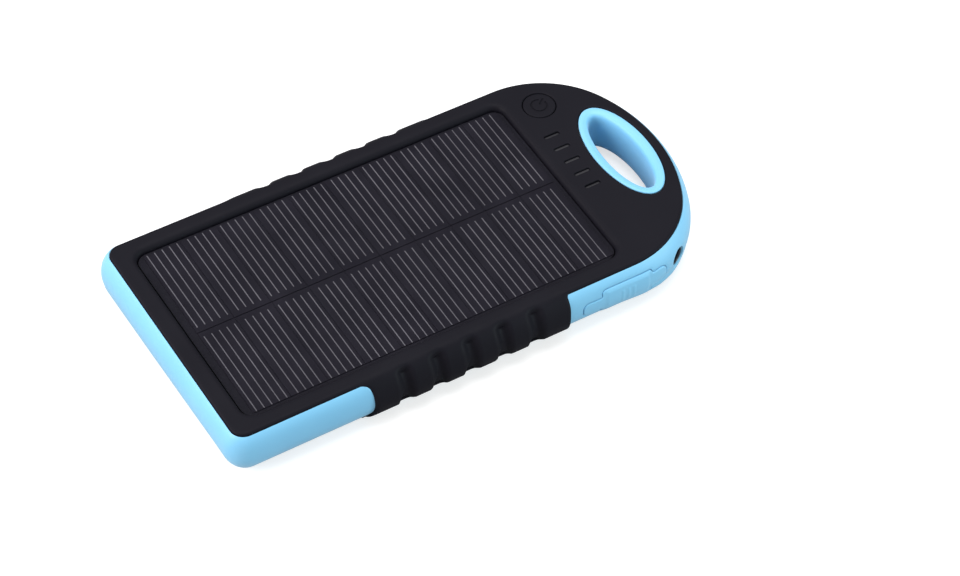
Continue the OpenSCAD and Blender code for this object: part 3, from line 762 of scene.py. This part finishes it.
# ------------------------------------------------------------------ bumper
# the band's section from the top edge, down and in under the back: offset, z
BAND = [(0.14, 13.1)]
BAND += [(BUMPER_OUT - 3.5 + 3.5 * cos(rad(a)), MID_Z + 6.9 * sin(rad(a)))
         for a in np.linspace(65.5, 0, 19)]
BAND += [(BUMPER_OUT - 6.2 + 6.2 * cos(rad(a)), MID_Z + 7 * sin(rad(a)))
         for a in np.linspace(-4.5, -87, 23)]
BAND += [(-4.2, 0.0), (-4.55, 0.02), (-4.68, 0.12), (-4.7, 0.3)]
BAND = np.array(BAND)
BAND_NORMAL = curve_normals(BAND)
ACROSS = np.concatenate([[0], np.cumsum(np.linalg.norm(np.diff(BAND, axis=0), axis=1))])
# height of the band's underside where the hanging eye cuts it
CUT_Z = MID_Z - 7 * np.sqrt(np.clip(1 - ((np.clip(EYE_CUT, -4, 2.2) + 4) / 6.2) ** 2, 0, 1))


def across_of_z(z):
    """length across the band's face at a height"""
    return np.interp(-z, -BAND[1:40, 1], ACROSS[1:40])


def fuller(run, out, z):
    """the band's lower half is fuller round the torch's shoulder, and a little at the foot"""
    foot = np.interp(run - RUN[POS1], [-25, -4, 2, 10, 35, 55, 68],
                     [0, 0.5, 0.85, 0.8, 0.6, 0.3, 0])
    signed = np.where(run > LENGTH / 2, run - LENGTH, run)
    shoulder = np.interp(signed, [-12, -4, 2, 8, 13, 18, 28, 45, 60, 75],
                         [0, 0.1, 0.6, 1.25, 1.4, 1.15, 0.75, 0.5, 0.3, 0])
    low = np.maximum(0.3 * smooth((13 - z) / 4.0), np.exp(-((z - 2.0) / 2.6) ** 2))
    return (foot + shoulder) * (low * smooth((out + 4.2) / 2.5))


def band_point(run, across, lift=0.0):
    """points on the bumper's face, lifted along its normal"""
    run = np.asarray(run, float) % LENGTH
    out, z = (np.interp(across, ACROSS, BAND[:, c])
              + lift * np.interp(across, ACROSS, BAND_NORMAL[:, c]) for c in (0, 1))
    out = out + fuller(run, out, z)
    # behind the grips the band drops back
    on_pos = (run >= RUN[POS0]) & (run <= RUN[POS1])
    x = SHOULDER_X - np.where(on_pos, run - RUN[POS0], LENGTH - run)
    inset = np.where(on_pos | (run >= RUN[NEG0]), np.minimum(*grip_insets(x, z)), -99)
    behind = smooth((inset - 0.45) / 0.5)
    out = out + (np.minimum(out, 0.02 - 0.9 * smooth((3.4 - z) / 1.2)) - out) * behind
    z = z + (np.minimum(z, 11.9) - z) * behind
    # and its lower lip stops at the hanging eye
    i = column_at(run)
    near = np.where(np.abs(run - RUN[i]) < np.abs(RUN[i + 1] - run), i, i + 1) % COUNT
    met = np.interp(run, RUN, np.append(EYE_CUT, EYE_CUT[0])) > -9
    limit = np.where(met, EYE_CUT[near], -99)
    cut = (out < limit) & (z < 3)
    z = np.where(cut, np.maximum(z, CUT_Z[near]), z)
    out = np.where(cut, limit, out)
    return np.column_stack([outline_run(run, out), z])


def band_face(points, side, lift):
    """points given as (x, z) on a long side, laid on the bumper's face"""
    return band_point(run_of_x(points[:, 0], side), across_of_z(points[:, 1]), lift)


def inner_face(p):
    """points given as (run, z) on the bumper's inside face"""
    return np.column_stack([outline_run(p[:, 0] % LENGTH, INNER_OUT), p[:, 1]])


def inner_run(x, side):
    """length along the outline that stands at x on the inside face"""
    if x <= SHOULDER_X:
        return run_of_x(x, side)
    a = (SHOULDER_R + BUMPER_OUT) * math.asin((x - SHOULDER_X) / (SHOULDER_R + INNER_OUT))
    return RUN[POS0] - a if side > 0 else LENGTH + a


def flap_loop(g):
    """a flap's outline in (x, z), grown by g: a block with a tab at each end"""
    tab0, block0 = HINGE_X - 3.3 - g, PORT_X - 7.4 - g
    block1, tab1 = PORT_X + 7.2 + g, PORT_X + 12.0 + g
    low, tab_low = 2.8 - g, 4.8 - g
    hinge_high, block_high, tab_high = 8.8 + g, 10.8 + g, 9.7 + g
    end_r, block_r, notch_r = 1.5 + g, 1.1 + g, max(0.15, 0.5 - g)
    return rounded([
        (tab0, tab_low, end_r), (block0, tab_low, notch_r), (block0, low, block_r),
        (block1, low, block_r), (block1, tab_low, notch_r), (tab1, tab_low, end_r),
        (tab1, tab_high, end_r + 0.4), (block1, tab_high, notch_r),
        (block1, block_high, 0.9 + min(g, 0)), (block0, block_high, block_r),
        (block0, hinge_high, notch_r), (tab0, hinge_high, end_r)])


FLAP_GAP = 0.15
POCKET = FLAP_GAP + 0.14                      # growth at the pocket's softened rim
TORCH_RUN = (TORCH_ANGLE + 90) / (90 - JOIN_ANGLE) * RUN[40]
TORCH_ACROSS = across_of_z(MID_Z)


def torch_loop(g):
    return circle(TORCH_RUN, TORCH_ACROSS, 2.65 + g, 48)


def pocket_loop(g):
    return refine(flap_loop(g), 0.7, flap_loop(POCKET))


def patch(m, i0, i1, levels, place, hole=None, clear=None):
    """the band between two columns; a pierced one keeps its grid outside clear, if given"""
    us = np.concatenate([RUN, LENGTH + RUN[1:60]])[i0:i1 + 1]
    if hole is None:
        m.rings([place(np.column_stack([us, np.full(len(us), v)])) for v in levels],
                closed=False)
        return
    border = [(u, levels[0]) for u in us] + [(us[-1], v) for v in levels[1:]]
    border += [(u, levels[-1]) for u in us[::-1][1:]] + [(us[0], v) for v in levels[::-1][1:-1]]
    grid = ()
    if clear is not None:
        grid = np.array([(u, v) for u in us[1:-1] for v in levels[1:-1]])
        grid = grid[~inside(grid, hole) & (nearest_gap(grid, hole) > clear)]
    m.area(np.array(border), place, [hole], grid)


def bumper():
    m = Mesh()
    # columns that bound the pierced stretches: torch, +y flap, -y flap
    by_torch = [i for i in range(41) if abs(RUN[i] - TORCH_RUN) < 4.6]
    t0, t1 = min(by_torch), max(by_torch)
    a0, b1 = POS0 - t0, COUNT + t0
    a1 = max(i for i in range(POS0, POS1) if 22.6 <= COLUMN_X[i] <= 60)
    b0 = min(i for i in range(NEG0, COUNT) if 22.6 <= COLUMN_X[i] <= 60)
    stretches = [(t0, t1), (t1, a0), (a0, a1), (a1, b0), (b0, b1)]

    rim = pocket_loop(POCKET)
    on_face = {s: np.column_stack([run_of_x(rim[:, 0], s), across_of_z(rim[:, 1])])
               for s in (-1, 1)}
    for ends, hole in zip(stretches, (torch_loop(0.2), None, on_face[1], None, on_face[-1])):
        patch(m, *ends, ACROSS, lambda p: band_point(p[:, 0], p[:, 1]), hole, clear=0.22)
    # pocket walls and floor under each flap
    port = refine(rrect(PORT_X - 6.7, PORT_X + 6.7, 3.7, 9.9, 0.4, 4), 0.8)
    floor_loop = pocket_loop(FLAP_GAP)
    for s in (-1, 1):
        walls = [band_face(pocket_loop(g), s, lift)
                 for g, lift in ((POCKET, 0.0), (FLAP_GAP + 0.05, -0.05), (FLAP_GAP, -0.2))]
        m.rings(walls + [on_wall(floor_loop, s, HALF_W + 0.6), on_wall(floor_loop, s, HALF_W)])
        m.area(floor_loop, lambda p: on_wall(p, s, HALF_W), [port])
    # torch well
    well = torch_loop(0)
    well_end = np.column_stack([well[:, 0], np.interp(well[:, 1], ACROSS, BAND[:, 1])])
    m.rings([band_point(*torch_loop(g).T, lift)
             for g, lift in ((0.2, 0.0), (0.06, -0.06), (0, -0.25))] + [inner_face(well_end)])
    # top edge, port tunnels and inside face
    top = band_point(RUN[:COUNT], np.full(COUNT, ACROSS[0]))
    m.rings([top, outline_ring(0.06, top[:, 2]), outline_ring(0.06, 11.9),
             outline_ring(INNER_OUT, 11.9)])
    port_end = {}
    for s in (-1, 1):
        port_end[s] = np.array([(inner_run(x, s), z) for x, z in port])
        m.rings([on_wall(port, s, HALF_W), inner_face(port_end[s])])
    levels = np.array([11.9, 10.6, 9.2, 7.8, 6.4, 5.0, 3.6, 2.6, 1.9])
    for ends, hole in zip(stretches, (well_end, None, port_end[1], None, port_end[-1])):
        patch(m, *ends, levels, inner_face, hole)
    # lower lip, held outside the hanging eye
    lip = -4.7
    m.rings([outline_ring(INNER_OUT, 1.9)] + [
        outline_ring(np.maximum(lip, EYE_CUT), np.where(EYE_CUT > lip, np.maximum(CUT_Z, z), z))
        for z in (1.9, 0.3)])
    part(m, "bumper_band", "bumper_frame", "blue_bumper", 42)


bumper()

# ------------------------------------------------------------------ solar panel
CELLS, CELL_Y = 10, 28.1
CELL_X0 = WIN_X0 + 2.3
CELL_PITCH = (WIN_X1 - 1.3 - CELL_X0) / CELLS
CELL_Z = PANEL_Z - 0.45
# growth, z
WAFER = [(0, PANEL_Z - 0.65), (0, PANEL_Z - 0.5), (-0.02, PANEL_Z - 0.465), (-0.06, CELL_Z),
         (-0.4, CELL_Z)]
SHEET = [(g, PANEL_Z - d) for g, d in (
    (-0.9, 0.41), (-0.08, 0.41), (0, 0.35), (0, 0.16), (-0.03, 0.08), (-0.1, 0.025),
    (-0.2, 0.003), (-0.4, 0), (-0.9, 0))]
# a printed line's section: share of its half width, height above the cell
LINE = [(-1, 0), (-0.8, 0.015), (-0.35, 0.026), (0.35, 0.026), (0.8, 0.015), (1, 0)]


def cell_wafers():
    """two rows of wafers"""
    m = Mesh()
    for c in range(CELLS):
        x0, x1 = CELL_X0 + c * CELL_PITCH + 0.04, CELL_X0 + (c + 1) * CELL_PITCH - 0.04
        for y0, y1 in ((-CELL_Y, -0.12), (0.12, CELL_Y)):
            loops = m.stack(lambda g: rrect(x0 - g, x1 + g, y0 - g, y1 + g,
                                            0.12 + max(g, -0.1), 4), WAFER)
            m.cap(loops[-1])
            m.cap(loops[0][::-1])
    part(m, "cell_wafers", "solar_cells", "silicon", 12)


def cell_lines():
    """five or four printed lines along y on every wafer, with slightly uneven edges"""
    m = Mesh()
    for c in range(CELLS):
        n = 5 if c % 2 == 0 else 4
        for ya, yb in ((-28.0, -1.6), (1.65, CELL_Y)):
            ys = [ya, ya + 0.1, *np.linspace(ya + 0.5, yb - 0.5, 14), yb - 0.1, yb]
            for k in range(n):
                x = (CELL_X0 + (c + 0.5) * CELL_PITCH
                     + (k - (n - 1) / 2) * CELL_PITCH * 0.2025)
                rings = []
                for y in ys:
                    taper = 0.6 if y in (ya, yb) else 1.0
                    half = 0.13 * taper * (1 + 0.06 * sin(7.3 * y + 3.1 * k + c))
                    rings.append([(x + half * s, y, CELL_Z + h) for s, h in LINE])
                m.rings(rings)
                m.cap(rings[0])
                m.cap(rings[-1][::-1])
    part(m, "cell_printed_lines", "cell_fingers", "silver_line", 40)


def laminate_sheet():
    def sheet(g):
        x0, x1, y = WIN_X0 + 0.2 - g, WIN_X1 - 0.2 + g, WIN_Y - 0.2 + g
        return rrect(x0, x1, -y, y, 3 + g, 10)

    m = Mesh()
    m.stack(sheet, SHEET)
    for z in (PANEL_Z, PANEL_Z - 0.41):
        m.area(sheet(-0.9), at_z(z))
    part(m, "laminate_sheet", "panel_laminate", "laminate", 60)


cell_wafers()
cell_lines()
laminate_sheet()

# ------------------------------------------------------------------ torch lens
# radius, distance out from the bumper's face
LENS = [(0.02, -2.6), (2.5, -2.6), (2.56, -2.5), (2.56, -0.45), (2.5, -0.3), (2.4, -0.26),
        (2.28, -0.34), (2.2, -0.6), (2.14, -1.6), (1.9, -1.48), (1.6, -1.36), (1.0, -1.2),
        (0.4, -1.13), (0.02, -1.12)]


def torch_lens():
    """a domed disc in a thin ring"""
    m = Mesh()
    a, r = rad(TORCH_ANGLE), SHOULDER_R + BUMPER_OUT
    centre = np.array([SHOULDER_X + r * cos(a), -SHOULDER_Y + r * sin(a), MID_Z])
    axis, along = np.array([cos(a), sin(a), 0]), np.array([-sin(a), cos(a), 0])
    up = np.array([0, 0, 1.0])
    rings = [[centre + axis * d + along * p + up * q for p, q in circle(0, 0, r, 48)]
             for r, d in LENS]
    m.rings(rings)
    m.cap(rings[0])
    m.cap(rings[-1][::-1])
    part(m, "torch_lens_dome", "torch_lens", "lens", 40, smoked_lens)


torch_lens()


# ------------------------------------------------------------------ port flaps
def flap_ring(g):
    return refine(flap_loop(g), 0.5, flap_loop(0))


def flap_face(points, side):
    """the face stands a little proud, most on the block, which carries three soft ribs"""
    x, z = points.T
    block = (smooth((x - (PORT_X - 6.6)) / 0.9) * smooth(((PORT_X + 6.5) - x) / 0.9)
             * smooth((z - 3.0) / 0.9) * smooth((10.6 - z) / 0.9))
    lift = 0.16 + 0.2 * block
    for c in (-1.6, 0.0, 1.6):
        rib = np.exp(-((x - PORT_X - c) / 0.34) ** 4)
        lift = lift + 0.14 * rib * smooth((z - 4.6) / 0.5) * smooth((9.0 - z) / 0.5)
    return band_face(points, side, lift)


def port_flap(side, kind, nose, nose_depth):
    """a flap with a nose behind its block and a peg at the hinge; nose is x0, x1, z0, z1"""
    m = Mesh()
    rim, edge = flap_ring(-0.34), flap_ring(0)
    grid = np.meshgrid(np.arange(HINGE_X - 3.0, PORT_X + 11.8, 0.24),
                       np.arange(3.1, 10.6, 0.24))
    points = np.column_stack([g.ravel() for g in grid])
    points = points[inside(points, rim) & (nearest_gap(points, rim) > 0.12)]
    m.area(rim, lambda p: flap_face(p, side), inner=points)
    back_y = HALF_W + 0.1
    m.rings([flap_face(rim, side)]
            + [band_face(flap_ring(g), side, lift)
               for g, lift in ((-0.14, 0.11), (-0.03, 0.0), (0, -0.16))]
            + [on_wall(edge, side, HALF_W + 0.55), on_wall(edge, side, back_y)])
    nose_loop = refine(rrect(*nose, 0.5, 4), 1.0)
    peg_loop = refine(rrect(HINGE_X - 2.6, HINGE_X - 1.2, MID_Z - 1.2, MID_Z + 0.6, 0.2, 3), 1.0)
    # extra points in the back face at the hinge end
    bend = [(x, z) for x in np.arange(HINGE_X - 2.7, HINGE_X + 3, 0.4) for z in (5.5, 6.3, 8.2)]
    m.area(edge, lambda p: on_wall(p, side, back_y), [nose_loop, peg_loop], bend)
    for loop, depth in ((nose_loop, nose_depth), (peg_loop, 1.5)):
        centre, tip = loop.mean(0), HALF_W - depth
        arm = loop - centre
        reach = np.maximum(np.abs(arm).max(0), 0.1)
        rings = [on_wall(centre + arm * np.maximum(0.05, 1 - shrink / reach), side, y)
                 for y, shrink in ((back_y, 0), (tip + 0.25, 0), (tip + 0.06, 0.1), (tip, 0.3))]
        m.rings(rings)
        m.cap(rings[-1])
    ob = m.to_object(kind + "_rubber", MATERIALS["blue_bumper"], 44)
    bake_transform(ob)
    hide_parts(kind, kind + "_anchor")


port_flap(-1, "output_flap", nose=(PORT_X - 5.7, PORT_X + 5.7, 4.5, 6.6), nose_depth=1.4)
port_flap(1, "input_flap", nose=(PORT_X - 3.2, PORT_X + 3.2, 4.4, 6.4), nose_depth=0.15)

# ------------------------------------------------------------------ back cover
# offset, growth of the hanging eye, z
BACK_EDGE = [(-5.12, 0.42, 0.0), (-5.03, 0.32, 0.02), (-4.93, 0.2, 0.08), (-4.85, 0.13, 0.2),
             (-4.8, 0.1, 0.42), (-4.8, 0.1, 1.95)]
SCREW_WELL = [(2.12, 0.0), (2.08, 0.03), (2.05, 0.1), (2.05, 1.3), (1.15, 1.3), (1.15, 1.95)]
FIELD_EDGE = [(0.5, 0.0), (0.3, 0.0), (0.12, 0.05), (0.02, 0.15), (-0.1, 0.22), (-0.4, 0.25),
              (-0.9, 0.25)]


def field(g):
    return rrect(-50 - g, 32 + g, -19 - g, 19 + g, 3.5 + g, 10)


def back_loop(out, g):
    """the back cover's edge: the outline, broken at the eye end by the hanging eye"""
    def between(q):
        i, f = np.floor(q).astype(int), (q % 1)[:, None]
        return outline_at(i, out) * (1 - f) + outline_at(i + 1, out) * f

    def leave(a, b):
        """where the outline leaves the eye, from column a towards b"""
        for _ in range(40):
            mid = (a + b) / 2
            if in_oval(between(np.array([mid]))[0], g):
                a = mid
            else:
                b = mid
        return b

    first, last = leave(60.0, 100.0), leave(60.0, 20.0)    # column 60 is the end's middle
    run = between(np.linspace(first, last + COUNT, 420) % COUNT)
    rx, ry = HANG_RX + g, HANG_RY + g
    ta, tb = (math.atan2(p[1] / ry, (p[0] - HANG_X) / rx) for p in (run[-1], run[0]))
    t = np.linspace(ta, tb - 2 * pi, 90)[1:-1]
    return np.vstack([run, np.column_stack([HANG_X + rx * np.cos(t), ry * np.sin(t)])])


def back_cover():
    m = Mesh()
    m.rings([loop_z(back_loop(out, g), z) for out, g, z in BACK_EDGE])
    for at in SCREWS:
        m.lathe(SCREW_WELL, at, 48, cap=False)
        m.lathe([(1.15, 1.96), (1.15, 3.0)], at, 48, cap=False)
    wells = [circle(*at, 2.12, 48) for at in SCREWS]
    small = [circle(*at, 1.15, 48) for at in SCREWS]
    # a shallow plain field across the back, with a soft edge
    m.stack(field, FIELD_EDGE)
    m.area(field(-0.9), at_z(0.25))
    m.area(back_loop(-5.12, 0.42), at_z(0.0), wells + [field(0.5)])
    m.area(back_loop(-4.8, 0.1), at_z(1.95), small)
    # the upper step and the wall that stands on it
    m.rings([outline_ring(-1.7, 1.96), outline_ring(-1.7, 10.2), outline_ring(WALL_OUT, 10.2),
             outline_ring(WALL_OUT, 3.0)])
    eye = oval(HANG_GAP)
    m.rings([loop_z(eye, 1.96), loop_z(eye, 3.0)])
    m.area(outline_at(ALL, -1.7), at_z(1.96), small + [eye])
    m.area(outline_at(ALL, WALL_OUT), at_z(3.0), small + [eye])
    part(m, "back_cover_shell", "back_cover", "black_shell", 8, textured_black)


back_cover()

# ------------------------------------------------------------------ screws
HEAD = [(1.5, 0.36), (1.75, 0.42), (1.88, 0.58), (1.9, 0.8), (1.9, 1.28), (0.8, 1.28)]
THREAD = [(0.82 if k % 2 else 0.62, 1.4 + k * 0.31) for k in range(22)] + [(0.3, 8.3)]


def case_screws():
    """screws with cross recesses, heads at the back"""
    m = Mesh()
    a, w = 1.25, 0.24          # half length and half width of the cross's arms
    cross = np.array([(a, -w), (a, w), (w, w), (w, a), (-w, a), (-w, w),
                      (-a, w), (-a, -w), (-w, -w), (-w, -a), (w, -a), (w, -w)])
    for at in SCREWS:
        m.area(circle(*at, 1.5, 40), at_z(0.36), [cross + at])
        recess = m.stack(lambda k: cross * k + at, [(1, 0.36), (0.72, 0.95)])
        m.cap(recess[-1])
        m.lathe(HEAD + THREAD, at, 40)
    part(m, "case_screws_set", "case_screws", "steel", 40)


case_screws()


# ------------------------------------------------------------------ stage, lights and camera
def stage_material():
    """a pale floor; what it throws back on the object is dimmer than what the camera sees"""
    m, tree, b = new_material("stage_white")
    b.inputs["Base Color"].default_value = (0.5, 0.5, 0.5, 1)
    b.inputs["Roughness"].default_value = 0.9
    b.inputs["Specular IOR Level"].default_value = 0.0
    b.inputs["Emission Color"].default_value = (1, 1, 1, 1)
    b.inputs["Emission Strength"].default_value = 0.66
    dim = tree.nodes.new("ShaderNodeBsdfDiffuse")
    dim.inputs["Color"].default_value = (0.42, 0.42, 0.42, 1)
    path = tree.nodes.new("ShaderNodeLightPath")
    mix = tree.nodes.new("ShaderNodeMixShader")
    tree.links.new(path.outputs["Is Camera Ray"], mix.inputs["Fac"])
    tree.links.new(dim.outputs[0], mix.inputs[1])
    tree.links.new(b.outputs[0], mix.inputs[2])
    tree.links.new(mix.outputs[0], output_of(tree).inputs["Surface"])
    return m


def add_floor():
    bpy.ops.mesh.primitive_plane_add(size=12, location=(0, 0, -0.0002))
    floor = bpy.context.object
    floor.name = "floor"
    floor.data.materials.append(stage_material())


def add_world():
    world = bpy.data.worlds.new("studio")
    bpy.context.scene.world = world
    world.use_nodes = True
    background = world.node_tree.nodes["Background"]
    background.inputs["Color"].default_value = (1, 1, 1, 1)
    background.inputs["Strength"].default_value = 0.55


def area_light(name, at, size, power, tint=(1, 1, 1)):
    """a square light aimed at the origin; at and size are in metres"""
    light = bpy.data.lights.new(name, "AREA")
    light.color = tint
    light.energy = power
    light.size = size
    ob = bpy.data.objects.new(name, light)
    bpy.context.scene.collection.objects.link(ob)
    ob.location = at
    ob.rotation_euler = (-Vector(at)).to_track_quat("-Z", "Y").to_euler()


def add_camera():
    right = (0.832827, -0.549209, 0.069051)
    up = (0.378813, 0.656456, 0.652355)
    backward = (-0.403608, -0.517141, 0.754762)
    place = [c * MM for c in (-264.426, -451.59, 593.35)]
    camera = bpy.data.cameras.new("camera")
    camera.sensor_width = 36
    camera.lens = 118.5293625
    camera.shift_x = -0.22544375
    camera.shift_y = 0.0238625
    camera.clip_start = 0.01
    ob = bpy.data.objects.new("camera", camera)
    bpy.context.scene.collection.objects.link(ob)
    ob.matrix_world = Matrix([*zip(right, up, backward, place), (0, 0, 0, 1)])
    bpy.context.scene.camera = ob


add_floor()
add_world()
area_light("key", at=(-0.95, 0.2, 0.62), size=0.8, power=13.3, tint=(1, 0.965, 0.95))
area_light("fill", at=(0.7, -0.6, 0.25), size=0.5, power=4.3, tint=(0.78, 1, 1))
area_light("top", at=(0.1, 0.2, 1.2), size=0.8, power=9)
add_camera()
bpy.context.scene.view_settings.view_transform = "Standard"
